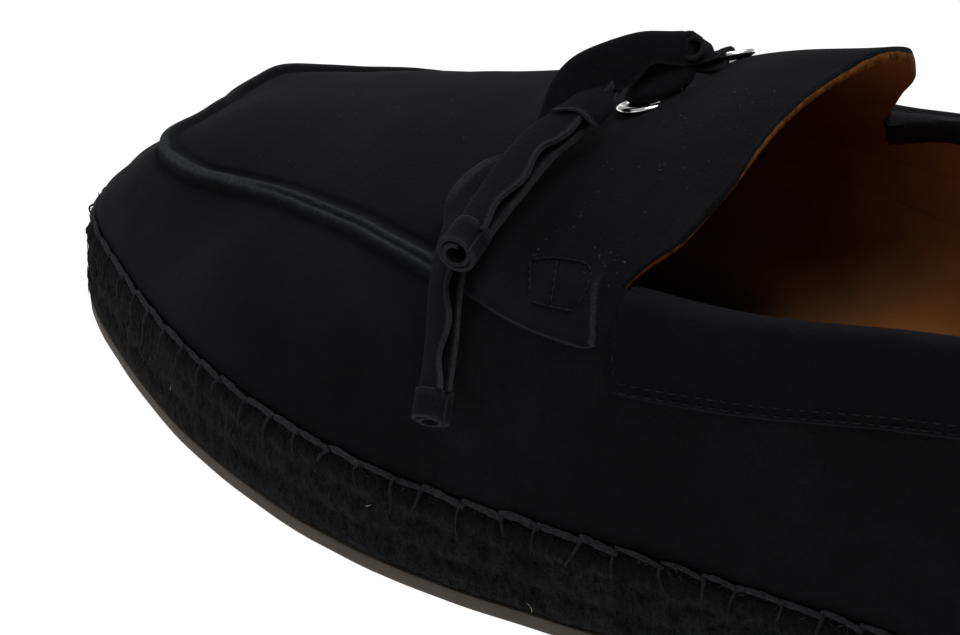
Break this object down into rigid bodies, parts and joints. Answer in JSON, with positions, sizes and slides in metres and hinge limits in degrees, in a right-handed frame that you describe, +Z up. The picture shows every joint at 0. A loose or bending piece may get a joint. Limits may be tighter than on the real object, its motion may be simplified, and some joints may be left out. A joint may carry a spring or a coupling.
{
  "type": "tassel loafer",
  "caption": "Left slip-on loafer with a raised apron seam, low collar, hollow suede upper, rope sole on a thin rubber outsole and a suede tie with cuffed ends through eyelets.",
  "frame": {"origin": "middle of the box of the shoe without its tie, on the floor under the sole", "axes": "+X from toe to heel, +Y from the outer (lateral) side to the inner (medial) side, +Z up"},
  "size_m": [0.2878, 0.1052, 0.0774],
  "materials": {
    "outsole": "matt thin rubber, dark brown-grey",
    "rope_sole": "plaited jute rope dyed black, fuzzy",
    "insole": "tan leather sock",
    "upper": "black suede",
    "eyelet": "polished nickel ring",
    "tie": "black suede strip, raw edges"
  },
  "bodies": {
    "root": {"outsole": "outsole", "rope_sole": "rope_sole", "insole": "insole", "upper": "upper", "collar_band": "upper", "eyelet_outer": "eyelet", "eyelet_inner": "eyelet", "tie_end_1": "tie", "tie_cuff_1": "tie", "tie_end_2": "tie", "tie_cuff_2": "tie", "tie_bar": "tie"}
  },
  "joints": []
}
